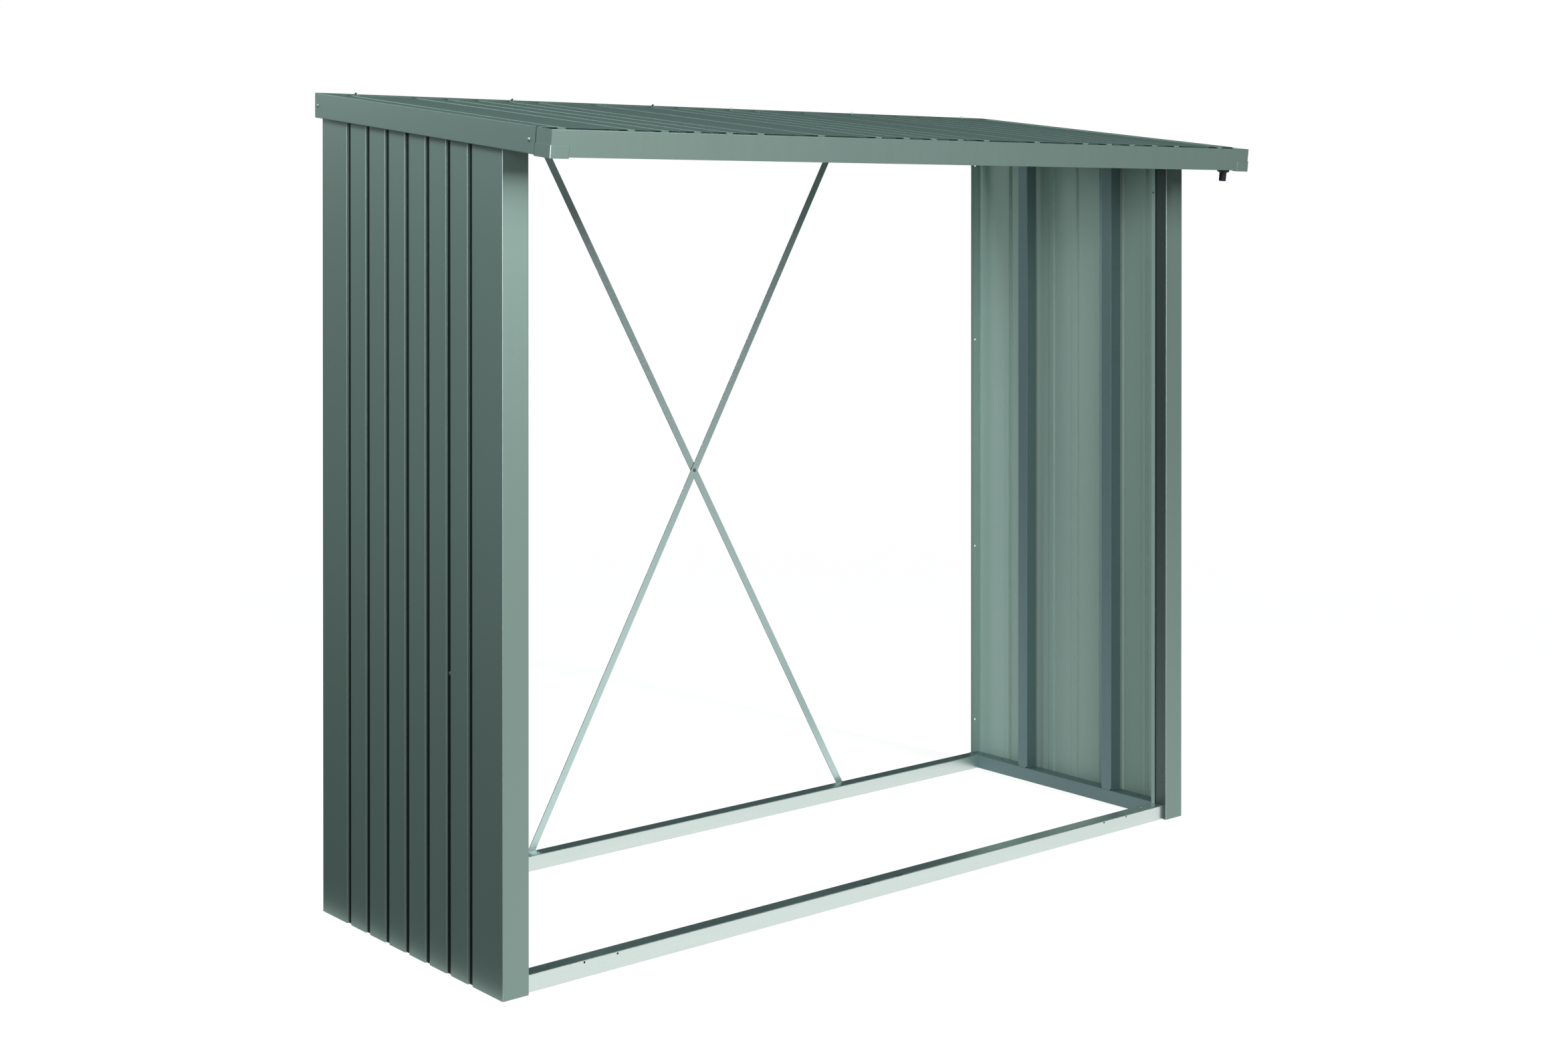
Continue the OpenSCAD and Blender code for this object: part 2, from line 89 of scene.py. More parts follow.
def place(tree, kind, sockets=None, **settings):
    """Adds a node; a socket gets a link from another socket, or a plain value."""
    node = tree.nodes.new(kind)
    for name, value in settings.items():
        setattr(node, name, value)
    for name, value in (sockets or {}).items():
        join(tree, value, node.inputs[name])
    return node


def join(tree, value, socket):
    if isinstance(value, bpy.types.NodeSocket):
        tree.links.new(value, socket)
    else:
        socket.default_value = value


def maths(tree, operation, *values, clamp=False):
    node = place(tree, "ShaderNodeMath", dict(enumerate(values)), operation=operation, use_clamp=clamp)
    return node.outputs[0]


def over(tree, value, limit):
    return maths(tree, "GREATER_THAN", value, limit)


def under(tree, value, limit):
    return maths(tree, "LESS_THAN", value, limit)


def all_of(tree, mask, *others):
    """The product of masks, which holds only where each of them does."""
    for other in others:
        mask = maths(tree, "MULTIPLY", mask, other)
    return mask


def noise(tree, vector, scale, detail):
    node = place(tree, "ShaderNodeTexNoise", {"Vector": vector, "Scale": scale, "Detail": detail})
    return node.outputs["Fac"]


def stretched(tree, vector, scale):
    return place(tree, "ShaderNodeMapping", {"Vector": vector, "Scale": scale}).outputs["Vector"]


def ramp(tree, value, low, high, to_low=0.0, to_high=1.0):
    node = place(tree, "ShaderNodeMapRange", {"Value": value, "From Min": low, "From Max": high,
                                              "To Min": to_low, "To Max": to_high})
    return node.outputs["Result"]


def blend(tree, kind, factor, a, b):
    node = place(tree, "ShaderNodeMix", data_type="RGBA", blend_type=kind, clamp_factor=True)
    # The node has sockets of the same names for values and vectors, so the colour ones go by number
    factor_in, a_in, b_in, colour_out = node.inputs[0], node.inputs[6], node.inputs[7], node.outputs[2]
    join(tree, factor, factor_in)
    join(tree, a, a_in)
    join(tree, b, b_in)
    return colour_out


def axes(tree, vector):
    return place(tree, "ShaderNodeSeparateXYZ", {0: vector}).outputs


def grey(tree, value):
    return place(tree, "ShaderNodeCombineColor", {0: value, 1: value, 2: value}).outputs[0]


# Shared effects of the finishes

MASK = {"Mask": "NodeSocketFloat"}
SURFACE = {"Tone": "NodeSocketFloat", "Rough": "NodeSocketFloat", "Height": "NodeSocketFloat"}


def shader_group(name, inputs, outputs):
    """An empty shader group with float inputs {name: default} and outputs {name: socket type}."""
    group = bpy.data.node_groups.new(name, "ShaderNodeTree")
    for label, value in inputs.items():
        socket = group.interface.new_socket(label, in_out="INPUT", socket_type="NodeSocketFloat")
        socket.default_value = value
    for label, kind in outputs.items():
        group.interface.new_socket(label, in_out="OUTPUT", socket_type=kind)
    entry = group.nodes.new("NodeGroupInput")
    leave = group.nodes.new("NodeGroupOutput")
    return group, entry.outputs, leave.inputs


def placed_group(tree, group, **values):
    node = place(tree, "ShaderNodeGroup", node_tree=group)
    for label, value in values.items():
        join(tree, value, node.inputs[label.replace("_", " ")])
    return node.outputs


def spot_and_facing(group):
    """The axes of a point's place and of its normal, in the frame of the part."""
    coordinates = place(group, "ShaderNodeTexCoord").outputs
    return axes(group, coordinates["Object"]), axes(group, coordinates["Normal"])


def outward_turn(group, spot, facing):
    """How much a face looks away from the middle of the store: 1 outwards, -1 inwards."""
    return maths(group, "MULTIPLY", facing["X"], maths(group, "SIGN", spot["X"]))


def swung(group, mask, depth):
    """A mask from 0 to 1, as a swing of the given depth to both sides of zero."""
    return maths(group, "MULTIPLY", maths(group, "SUBTRACT", mask, 0.5), depth)


def coated_grain_group():
    """Fine metallic grain and faint rolling streaks of coil-coated sheet."""
    group, put, out = shader_group(
        "coated_grain",
        {"Grain Scale": 900.0, "Grain Depth": 0.10, "Streak Depth": 0.012, "Cloud Depth": 0.04}, SURFACE)
    spot = place(group, "ShaderNodeTexCoord").outputs["Object"]
    grain = noise(group, spot, put["Grain Scale"], 1.0)
    streak = noise(group, stretched(group, spot, (70.0, 70.0, 1.2)), 1.0, 3.0)
    cloud = noise(group, spot, 2.2, 2.0)
    tone = 1.0
    for mask, depth in ((grain, "Grain Depth"), (streak, "Streak Depth"), (cloud, "Cloud Depth")):
        tone = maths(group, "ADD", tone, swung(group, mask, put[depth]))
    join(group, tone, out["Tone"])
    join(group, ramp(group, streak, 0.3, 0.7, -0.01, 0.01), out["Rough"])
    join(group, grain, out["Height"])
    return group


def zinc_spangle_group():
    """Crystal facets and drawn streaks of a zinc coating."""
    group, put, out = shader_group(
        "zinc_spangle", {"Facet Scale": 260.0, "Facet Depth": 0.03, "Streak Depth": 0.06}, SURFACE)
    spot = place(group, "ShaderNodeTexCoord").outputs["Object"]
    cells = place(group, "ShaderNodeTexVoronoi", {"Vector": spot, "Scale": put["Facet Scale"]}, feature="F1")
    facet = place(group, "ShaderNodeSeparateColor", {0: cells.outputs["Color"]}).outputs[0]
    streak = noise(group, stretched(group, spot, (4.0, 90.0, 90.0)), 1.0, 3.0)
    tone = 1.0
    for mask, depth in ((facet, "Facet Depth"), (streak, "Streak Depth")):
        tone = maths(group, "ADD", tone, swung(group, mask, put[depth]))
    join(group, tone, out["Tone"])
    join(group, ramp(group, facet, 0.0, 1.0, -0.02, 0.02), out["Rough"])
    join(group, streak, out["Height"])
    return group


def reverse_side_group():
    """Mask of the sheet's reverse: the side of walls, posts and trims that faces the inside of the store."""
    group, put, out = shader_group(
        "reverse_side",
        {"Wall Line": 1.1, "Hem Line": BEHIND_HEM_X, "Inward Turn": -0.05,
         "Flange Line": 0.49, "Flange Turn": -0.5}, MASK)
    spot, facing = spot_and_facing(group)
    inward = under(group, outward_turn(group, spot, facing), put["Inward Turn"])
    reach = maths(group, "ABSOLUTE", spot["X"])
    on_wall_or_hem = maths(group, "MAXIMUM", over(group, reach, put["Wall Line"]),
                           under(group, reach, put["Hem Line"]))
    side = all_of(group, inward, on_wall_or_hem)
    flange = all_of(group, under(group, facing["Y"], put["Flange Turn"]),
                    over(group, spot["Y"], put["Flange Line"]))
    join(group, maths(group, "MAXIMUM", side, flange), out["Mask"])
    return group


def underside_group():
    """Mask of the reverse of roof sheet: what faces down."""
    group, put, out = shader_group("underside", {"Tilt": -0.5}, MASK)
    _, facing = spot_and_facing(group)
    join(group, under(group, facing["Z"], put["Tilt"]), out["Mask"])
    return group


def groove_shade_group():
    """Mask of the floors of the wall panels' outer grooves, painted nearly black: painted shade in the
    recesses.
    """
    group, put, out = shader_group(
        "groove_grime",
        {"Groove Line": 1.1214, "Face Line": 1.1252, "Outward Turn": 0.3, "Depth": 0.95}, MASK)
    spot, facing = spot_and_facing(group)
    outside = over(group, outward_turn(group, spot, facing), put["Outward Turn"])
    sunk = ramp(group, maths(group, "ABSOLUTE", spot["X"]), put["Face Line"], put["Groove Line"])
    join(group, all_of(group, outside, sunk, put["Depth"]), out["Mask"])
    return group


def seam_shade_group():
    """Mask of the narrow shaded joint between a side trim and the end of the gutter.

    The seam lies at a distance up the roof's slope from the gutter's lip.
    """
    group, put, out = shader_group(
        "seam_shade",
        {"Lip Y": -0.51, "Lip Z": 1.8722, "Seam": 0.0578, "Half Width": 0.0012, "Side Line": 1.1385}, MASK)
    spot, _ = spot_and_facing(group)
    level = maths(group, "MULTIPLY", maths(group, "SUBTRACT", spot["Y"], put["Lip Y"]), math.cos(ROOF_SLOPE))
    rise = maths(group, "MULTIPLY", maths(group, "SUBTRACT", spot["Z"], put["Lip Z"]), math.sin(ROOF_SLOPE))
    up_slope = maths(group, "ADD", level, rise)
    offset = maths(group, "ABSOLUTE", maths(group, "SUBTRACT", up_slope, put["Seam"]))
    at_side = over(group, maths(group, "ABSOLUTE", spot["X"]), put["Side Line"])
    join(group, all_of(group, at_side, under(group, offset, put["Half Width"])), out["Mask"])
    return group


def fold_highlight_group():
    """Mask of the sheet's upright folds, where a painted highlight lightens the colour, most at the front."""
    group, put, out = shader_group(
        "fold_sheen", {"Turn": 0.33, "Front Line": -0.25, "Front Amount": 0.9, "Amount": 0.25}, MASK)
    spot, facing = spot_and_facing(group)
    turned = maths(group, "MINIMUM", maths(group, "ABSOLUTE", facing["X"]),
                   maths(group, "ABSOLUTE", facing["Y"]))
    in_front = all_of(group, under(group, spot["Y"], put["Front Line"]), put["Front Amount"])
    amount = maths(group, "MAXIMUM", in_front, put["Amount"])
    join(group, all_of(group, over(group, turned, put["Turn"]), amount), out["Mask"])
    return group


def post_return_shade_group():
    """Mask of the inward faces of the front posts' returns, painted darker as shade; the coat there is the
    same paint as outside.
    """
    group, put, out = shader_group(
        "post_return",
        {"Inner Line": BEHIND_HEM_X, "Outer Line": 1.0625, "Back Line": -0.2, "Inward Turn": -0.8}, MASK)
    spot, facing = spot_and_facing(group)
    reach = maths(group, "ABSOLUTE", spot["X"])
    mask = all_of(group, under(group, outward_turn(group, spot, facing), put["Inward Turn"]),
                  over(group, reach, put["Inner Line"]), under(group, reach, put["Outer Line"]),
                  under(group, spot["Y"], put["Back Line"]))
    join(group, mask, out["Mask"])
    return group


def channel_shade_group():
    """Mask of the inner faces of the front and back base rails, which are shut in: painted shade."""
    group, put, out = shader_group(
        "channel_inside",
        {"Front Rail": FRONT_RAIL_Y, "Back Rail": BACK_RAIL_Y, "Half Width": 0.0188, "Top": 0.0385}, MASK)
    spot, _ = spot_and_facing(group)
    to_front, to_back = [maths(group, "ABSOLUTE", maths(group, "SUBTRACT", spot["Y"], put[rail]))
                         for rail in ("Front Rail", "Back Rail")]
    within = under(group, maths(group, "MINIMUM", to_front, to_back), put["Half Width"])
    join(group, all_of(group, within, under(group, spot["Z"], put["Top"])), out["Mask"])
    return group


def cut_edge_shade_group():
    """Mask of the narrow cut edges of the flat brace bars, painted dark as shade."""
    group, put, out = shader_group("cut_edge", {"Flatness": 0.5}, MASK)
    _, facing = spot_and_facing(group)
    join(group, under(group, maths(group, "ABSOLUTE", facing["Y"]), put["Flatness"]), out["Mask"])
    return group


COATED_GRAIN = coated_grain_group()
ZINC_SPANGLE = zinc_spangle_group()
REVERSE_SIDE = reverse_side_group()
UNDERSIDE = underside_group()
GROOVE_SHADE = groove_shade_group()
SEAM_SHADE = seam_shade_group()
FOLD_HIGHLIGHT = fold_highlight_group()
POST_RETURN_SHADE = post_return_shade_group()
CHANNEL_SHADE = channel_shade_group()
CUT_EDGE_SHADE = cut_edge_shade_group()


# Finishes

PAINT = linear(131, 153, 146)
REVERSE_COAT = linear(184, 210, 201)
# Painted shade: the darker colour of the front posts' returns
RETURN_SHADE_COLOUR = linear(90, 105, 103)
# Painted highlight of the upright folds
PAINTED_HIGHLIGHT = linear(228, 238, 233)
# Painted shade: the near-black of the groove floors and of the seam at the gutter's end
PAINTED_SHADE = linear(20, 26, 26)
ZINC = linear(213, 225, 220)
BRACE_GREY = linear(194, 219, 215)
# Painted shade: a darker copy of the bare zinc for the stiffeners, side and top rails and beams
SHADED_ZINC_GREY = linear(126, 151, 153)
DARK_ZINC = linear(88, 96, 96)
# Painted shade: the near-black inside the base rails' channels and on the brace bars' cut edges
PAINTED_DARK_SHADE = linear(14, 17, 17)
BLACK = linear(12, 20, 28)

COAT_ROUGH, REVERSE_ROUGH = 0.42, 0.45
COAT_METALLIC, REVERSE_METALLIC = 0.7, 0.05

# Radii to which folds and cut edges are rounded in the shading
SHEET_FOLD = 0.0016
CHANNEL_FOLD = 0.0006
MOULDED_EDGE = 0.0006


def new_material(name, preview):
    material = bpy.data.materials.new(name)
    material.use_nodes = True
    material.diffuse_color = preview
    tree = material.node_tree
    return material, tree, tree.nodes["Principled BSDF"]


def toned(tree, colour, tone):
    return blend(tree, "MULTIPLY", 1.0, colour, grey(tree, tone))


def masked(tree, group, colour, over_colour, **values):
    """The colour, covered by another where the group's mask is set."""
    return blend(tree, "MIX", placed_group(tree, group, **values)["Mask"], colour, over_colour)


def bumped(tree, height, strength, distance, fold):
    """The normal of a grained surface whose folds and cut edges are rounded to the radius fold."""
    rounded = place(tree, "ShaderNodeBevel", {"Radius": fold}, samples=4).outputs["Normal"]
    node = place(tree, "ShaderNodeBump", {"Strength": strength, "Distance": distance, "Height": height,
                                          "Normal": rounded})
    return node.outputs["Normal"]


def coated_sheet(name, reverse_group, *shade_groups):
    """Grey-green coil coating outside, a paler backing coat on the reverse; painted shade darkens the front
    posts' returns and each shade group's mask, and a painted highlight lightens the upright folds.
    """
    material, tree, shader = new_material(name, PAINT)
    grain = placed_group(tree, COATED_GRAIN)
    reverse = placed_group(tree, reverse_group)["Mask"]
    colour = blend(tree, "MIX", reverse, PAINT, REVERSE_COAT)
    # Painted shade on the inward faces of the front posts' returns
    colour = masked(tree, POST_RETURN_SHADE, colour, RETURN_SHADE_COLOUR)
    # Painted highlight along the upright folds, strongest at the front
    colour = masked(tree, FOLD_HIGHLIGHT, colour, PAINTED_HIGHLIGHT, Front_Amount=0.9, Amount=0.25)
    # Painted shade where each shade group's mask is set
    for shade_group in shade_groups:
        colour = masked(tree, shade_group, colour, PAINTED_SHADE)
    join(tree, toned(tree, colour, grain["Tone"]), shader.inputs["Base Color"])
    rough = maths(tree, "MULTIPLY_ADD", reverse, REVERSE_ROUGH - COAT_ROUGH, COAT_ROUGH)
    join(tree, maths(tree, "ADD", rough, grain["Rough"]), shader.inputs["Roughness"])
    metallic = maths(tree, "MULTIPLY_ADD", reverse, REVERSE_METALLIC - COAT_METALLIC, COAT_METALLIC)
    join(tree, metallic, shader.inputs["Metallic"])
    join(tree, bumped(tree, grain["Height"], 0.12, 0.0004, SHEET_FOLD), shader.inputs["Normal"])
    shader.inputs["Specular IOR Level"].default_value = 0.06
    return material


def zinc_coated(name, colour, rough, metallic, shade_mask_group=None):
    """Bare zinc-coated steel of the rails, stiffeners, beams, braces and fasteners."""
    material, tree, shader = new_material(name, colour)
    spangle = placed_group(tree, ZINC_SPANGLE)
    if shade_mask_group:
        # Painted shade where the shade mask is set
        colour = masked(tree, shade_mask_group, colour, PAINTED_DARK_SHADE)
    join(tree, toned(tree, colour, spangle["Tone"]), shader.inputs["Base Color"])
    join(tree, maths(tree, "ADD", spangle["Rough"], rough), shader.inputs["Roughness"])
    join(tree, bumped(tree, spangle["Height"], 0.03, 0.0002, CHANNEL_FOLD), shader.inputs["Normal"])
    shader.inputs["Metallic"].default_value = metallic
    shader.inputs["Specular IOR Level"].default_value = 0.25
    return material


def moulded_plastic(name):
    """Black plastic of the drain spout, with a fine moulded grain."""
    material, tree, shader = new_material(name, BLACK)
    spot = place(tree, "ShaderNodeTexCoord").outputs["Object"]
    grain = noise(tree, spot, 1400.0, 2.0)
    join(tree, toned(tree, BLACK, ramp(tree, grain, 0.0, 1.0, 0.85, 1.15)), shader.inputs["Base Color"])
    join(tree, ramp(tree, grain, 0.3, 0.7, 0.42, 0.55), shader.inputs["Roughness"])
    join(tree, bumped(tree, grain, 0.15, 0.0003, MOULDED_EDGE), shader.inputs["Normal"])
    shader.inputs["Specular IOR Level"].default_value = 0.3
    return material


WALL_COATING = coated_sheet("wall_coating", REVERSE_SIDE, GROOVE_SHADE, SEAM_SHADE)
ROOF_COATING = coated_sheet("roof_coating", UNDERSIDE)
GALVANISED = zinc_coated("galvanised_steel", ZINC, 0.32, 0.95, CHANNEL_SHADE)
# The brace bars' cut edges take painted shade
BRACE_ZINC = zinc_coated("brace_zinc", BRACE_GREY, 0.32, 0.9, CUT_EDGE_SHADE)
# A darker copy of the bare zinc, painted shade for the parts under the roof and along the walls
SHADED_DULL_ZINC = zinc_coated("dull_zinc", SHADED_ZINC_GREY, 0.45, 0.35)
SCREW_ZINC = zinc_coated("screw_zinc", ZINC, 0.35, 0.7)
SCREW_DARK = zinc_coated("screw_dark", DARK_ZINC, 0.5, 0.5)
SPOUT_PLASTIC = moulded_plastic("spout_plastic")

FINISH_OF_SLOT = {"paint": WALL_COATING, "galvanised": GALVANISED, "black_plastic": SPOUT_PLASTIC}
NODES_OF_FINISH = (
    (ROOF_COATING, ("left_roof_panel", "middle_roof_panel", "right_roof_panel", "back_trim")),
    (SHADED_DULL_ZINC, ("left_front_stiffener", "left_back_stiffener", "left_top_rail", "left_base_rail",
                 "right_front_stiffener", "right_back_stiffener", "right_top_rail", "right_base_rail",
                 "front_beam", "back_beam")),
    (BRACE_ZINC, ("rising_brace_bar", "falling_brace_bar")))
OWN_FINISH = {node: finish for finish, nodes in NODES_OF_FINISH for node in nodes}

for subpart in frame["record"]["subparts"]:
    node = subpart["node"]
    solid = frame["nodes"][node]
    solid.data.materials.clear()
    solid.data.materials.append(OWN_FINISH.get(node, FINISH_OF_SLOT[subpart["material_slot"]]))


# Fasteners

ROUND_SIDES, HEX_SIDES = 24, 6


def geometry_tree(name, inputs):
    """An empty geometry tree with inputs {name: (socket type, default)}."""
    tree = bpy.data.node_groups.new(name, "GeometryNodeTree")
    tree.interface.new_socket("Geometry", in_out="INPUT", socket_type="NodeSocketGeometry")
    for label, (kind, value) in inputs.items():
        socket = tree.interface.new_socket(label, in_out="INPUT", socket_type=kind)
        if value is not None:
            socket.default_value = value
    tree.interface.new_socket("Geometry", in_out="OUTPUT", socket_type="NodeSocketGeometry")
    entry = tree.nodes.new("NodeGroupInput").outputs
    leave = tree.nodes.new("NodeGroupOutput").inputs
    return tree, entry, leave


def lifted(tree, mesh, height):
    lift = place(tree, "ShaderNodeCombineXYZ", {2: height}).outputs[0]
    return place(tree, "GeometryNodeTransform", {"Geometry": mesh, "Translation": lift}).outputs["Geometry"]


def crowned_cap(tree, radius, height, foot):
    """A closed cap of revolution: a grid bent round the axis into a crown, a skirt and a flat floor."""
    crown_rows, skirt_and_floor, weld = 6, 2, 0.00002
    rows = crown_rows + skirt_and_floor
    grid = place(tree, "GeometryNodeMeshGrid", {
        "Size X": 1.0, "Size Y": 1.0, "Vertices X": ROUND_SIDES + 1, "Vertices Y": rows + 1}).outputs["Mesh"]
    spot = axes(tree, place(tree, "GeometryNodeInputPosition").outputs[0])
    around = maths(tree, "MULTIPLY", spot["X"], 2 * math.pi)
    row = maths(tree, "MULTIPLY", maths(tree, "ADD", spot["Y"], 0.5), rows)
    swing = maths(tree, "MULTIPLY", maths(tree, "DIVIDE", row, crown_rows, clamp=True), math.pi / 2)
    on_wall = under(tree, row, rows - 0.5)
    reach = all_of(tree, maths(tree, "SINE", swing), on_wall, radius)
    crown = maths(tree, "MULTIPLY", maths(tree, "COSINE", swing), height)
    raised = under(tree, row, crown_rows + 0.5)
    point = place(tree, "ShaderNodeCombineXYZ", {
        0: maths(tree, "MULTIPLY", maths(tree, "COSINE", around), reach),
        1: maths(tree, "MULTIPLY", maths(tree, "SINE", around), reach),
        2: maths(tree, "ADD", crown, maths(tree, "MULTIPLY", raised, foot))}).outputs[0]
    bent = place(tree, "GeometryNodeSetPosition", {"Geometry": grid, "Position": point}).outputs["Geometry"]
    shut = place(tree, "GeometryNodeMergeByDistance", {"Geometry": bent, "Distance": weld})
    return place(tree, "GeometryNodeFlipFaces", {"Mesh": shut.outputs["Geometry"]}).outputs["Mesh"]


def disc(tree, sides, radius, height):
    cylinder = place(tree, "GeometryNodeMeshCylinder", {"Vertices": sides, "Radius": radius, "Depth": height})
    return cylinder.outputs["Mesh"]


def finish_fasteners(tree, put, out, head, washer):
    """One fastener of a head and a washer at every point, turned to the point's facing."""
    fastener = place(tree, "GeometryNodeJoinGeometry")
    tree.links.new(head, fastener.inputs[0])
    tree.links.new(washer, fastener.inputs[0])
    facing = place(tree, "GeometryNodeInputNamedAttribute", {"Name": "facing"}, data_type="FLOAT_VECTOR")
    turn = place(tree, "FunctionNodeAlignRotationToVector", {"Vector": facing.outputs[0]}, axis="Z")
    points = place(tree, "GeometryNodeInstanceOnPoints", {
        "Points": put["Geometry"], "Instance": fastener.outputs[0], "Rotation": turn.outputs[0]})
    real = place(tree, "GeometryNodeRealizeInstances", {"Geometry": points.outputs["Instances"]})
    done = place(tree, "GeometryNodeSetMaterial",
                 {"Geometry": real.outputs["Geometry"], "Material": put["Finish"]})
    join(tree, done.outputs["Geometry"], out["Geometry"])


def domed_screw_tree():
    """Domed heads on thin washers at every point, each turned to its point's facing."""
    tree, put, out = geometry_tree("domed_screws", {
        "Head Radius": ("NodeSocketFloat", 0.004), "Head Height": ("NodeSocketFloat", 0.0022),
        "Washer Radius": ("NodeSocketFloat", 0.005), "Washer Height": ("NodeSocketFloat", 0.0006),
        "Finish": ("NodeSocketMaterial", None)})
    head = crowned_cap(tree, put["Head Radius"], put["Head Height"], put["Washer Height"])
    washer = lifted(tree, disc(tree, ROUND_SIDES, put["Washer Radius"], put["Washer Height"]),
                    maths(tree, "MULTIPLY", put["Washer Height"], 0.5))
    finish_fasteners(tree, put, out, head, washer)
    return tree


def hex_bolt_tree():
    """Six-sided bolt heads on crowned washers at every point."""
    tree, put, out = geometry_tree("hex_bolts", {
        "Head Radius": ("NodeSocketFloat", 0.0075), "Head Height": ("NodeSocketFloat", 0.0045),
        "Washer Radius": ("NodeSocketFloat", 0.009), "Washer Height": ("NodeSocketFloat", 0.0012),
        "Finish": ("NodeSocketMaterial", None)})
    head = lifted(tree, disc(tree, HEX_SIDES, put["Head Radius"], put["Head Height"]),
                  maths(tree, "MULTIPLY_ADD", put["Head Height"], 0.5, put["Washer Height"]))
    washer = crowned_cap(tree, put["Washer Radius"], put["Washer Height"], 0.0)
    finish_fasteners(tree, put, out, head, washer)
    return tree


DOMED_SCREWS = domed_screw_tree()
HEX_BOLTS = hex_bolt_tree()


def fasteners(name, tree, spots, slot, **inputs):
    """One piece made of a fastener at every (place, facing) in spots."""
    mesh = bpy.data.meshes.new(name + "_points")
    mesh.from_pydata([spot for spot, _ in spots], [], [])
    facing = mesh.attributes.new("facing", "FLOAT_VECTOR", "POINT")
    for item, (_, direction) in zip(facing.data, spots):
        item.vector = direction
    piece = bpy.data.objects.new(name, mesh)
    bpy.context.scene.collection.objects.link(piece)
    modifier = piece.modifiers.new("fasteners", "NODES")
    modifier.node_group = tree
    for item in tree.interface.items_tree:
        value = inputs.get(item.name.lower().replace(" ", "_")) if item.in_out == "INPUT" else None
        if value is not None:
            modifier[item.identifier] = value
    evaluated = piece.evaluated_get(bpy.context.evaluated_depsgraph_get())
    piece.data = bpy.data.meshes.new_from_object(evaluated)
    piece.modifiers.clear()
    piece.data.name = name
    for polygon in piece.data.polygons:
        polygon.use_smooth = False
    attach(piece, "root")


def both_sides(spots):
    """The spots of the right side, and their mirror image on the left."""
    return spots + [((-x, y, z), (-a, b, c)) for (x, y, z), (a, b, c) in spots]


TO_RIGHT, TO_LEFT = (1, 0, 0), (-1, 0, 0)
TO_FRONT, TO_BACK = (0, -1, 0), (0, 1, 0)
UP = (0, 0, 1)
ROOF_UP = (0.0, -math.sin(ROOF_SLOPE), math.cos(ROOF_SLOPE))

fasteners("back_trim_screws", DOMED_SCREWS,
          both_sides([((x, BACK_TRIM_SCREW_Y, BACK_TRIM_SCREW_Z), ROOF_UP) for x in BACK_TRIM_SCREWS_X]),
          "paint", finish=WALL_COATING,
          head_radius=0.004, head_height=0.004, washer_radius=0.0055, washer_height=0.001)
fasteners("side_trim_screws", DOMED_SCREWS,
          both_sides([((TRIM_X, y, z), TO_RIGHT) for y, z in SIDE_TRIM_SCREWS_YZ]),
          "paint", finish=WALL_COATING,
          head_radius=0.004, head_height=0.0018, washer_radius=0.005, washer_height=0.0006)
fasteners("post_rivets", DOMED_SCREWS,
          both_sides([((POST_RETURN_X, RETURN_RIVET_Y, z), TO_LEFT) for z in RETURN_RIVETS_Z]
                     + [((POST_HEM_X, HEM_RIVET_Y, HEM_RIVET_Z), TO_LEFT)]),
          "galvanised", finish=SCREW_DARK,
          head_radius=0.0024, head_height=0.0014, washer_radius=0.0026, washer_height=0.0004)
fasteners("wall_screws", DOMED_SCREWS,
          both_sides([((WALL_GROOVE_X, WALL_SCREW_Y, WALL_SCREW_Z), TO_RIGHT)]),
          "galvanised", finish=SCREW_DARK,
          head_radius=0.004, head_height=0.0022, washer_radius=0.005, washer_height=0.0006)
fasteners("rail_screws", DOMED_SCREWS,
          both_sides([((x, y, RAIL_TOP), UP) for x, y in RAIL_SCREWS_XY]),
          "galvanised", finish=SCREW_DARK,
          head_radius=0.0028, head_height=0.0012, washer_radius=0.003, washer_height=0.0003)
fasteners("brace_cross_bolt", DOMED_SCREWS,
          [((0, RISING_BAR_FRONT_Y, BAR_CROSS_Z), TO_FRONT)],
          "galvanised", finish=SCREW_DARK,
          head_radius=0.0045, head_height=0.003, washer_radius=0.0052, washer_height=0.0006)
fasteners("brace_nuts", HEX_BOLTS,
          [((x, y, z), TO_BACK) for x, y, z in (
              (0, FALLING_BAR_BACK_Y, BAR_CROSS_Z),
              (-BAR_END_X, RISING_BAR_BACK_Y, BAR_LOW_Z), (BAR_END_X, RISING_BAR_BACK_Y, BAR_HIGH_Z),
              (BAR_END_X, FALLING_BAR_BACK_Y, BAR_LOW_Z), (-BAR_END_X, FALLING_BAR_BACK_Y, BAR_HIGH_Z))],
          "galvanised", finish=SCREW_ZINC,
          head_radius=0.0065, head_height=0.004, washer_radius=0.008, washer_height=0.0012)


# Studio

def dim_room(colour):
    world = bpy.data.worlds.new("dim_room")
    world.use_nodes = True
    world.node_tree.nodes["Background"].inputs["Color"].default_value = colour
    bpy.context.scene.world = world


def by_light_path(tree, seen, mirrored, bounce):
    """One shader for what the camera or glass sees, one for reflections and one for all other light."""
    path = place(tree, "ShaderNodeLightPath").outputs
    viewed = maths(tree, "MAXIMUM", path["Is Camera Ray"], path["Is Transmission Ray"])
    direct = place(tree, "ShaderNodeMixShader", {0: viewed, 1: bounce, 2: seen}).outputs[0]
    return place(tree, "ShaderNodeMixShader", {0: path["Is Glossy Ray"], 1: direct, 2: mirrored}).outputs[0]


